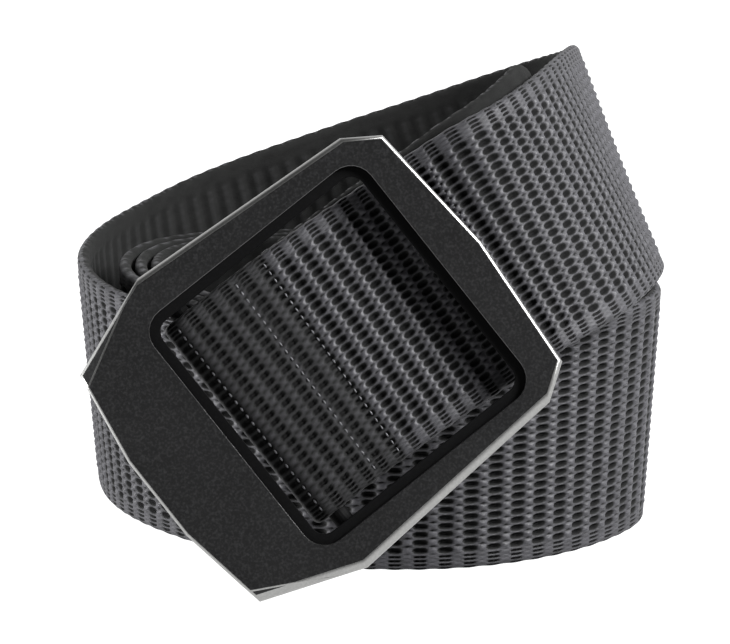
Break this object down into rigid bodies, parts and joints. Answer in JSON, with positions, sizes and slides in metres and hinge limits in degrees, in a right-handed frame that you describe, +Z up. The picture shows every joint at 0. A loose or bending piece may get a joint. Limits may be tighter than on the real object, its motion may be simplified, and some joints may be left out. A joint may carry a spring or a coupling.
{
  "type": "belt",
  "caption": "Woven web belt rolled up and standing on its edge, its sewn end folded round a pin in a black many-sided plate buckle with a square window.",
  "frame": {"origin": "centre of the belt's footprint, on the floor that the rolled strap stands on", "axes": "+Z up; -Y towards the buckle's front face; +X towards the side where the strap leaves the buckle"},
  "size_m": [0.0924, 0.123, 0.0761],
  "materials": {
    "webbing": "charcoal woven synthetic webbing, matte with a slight sheen on the yarns",
    "black_metal": "satin black coating, fine sparkle, bright bare metal on the cut edges",
    "pin_metal": "satin black"
  },
  "bodies": {
    "root": {"strap": "webbing", "buckle_plate": "black_metal", "strap_pin": "pin_metal"}
  },
  "joints": []
}
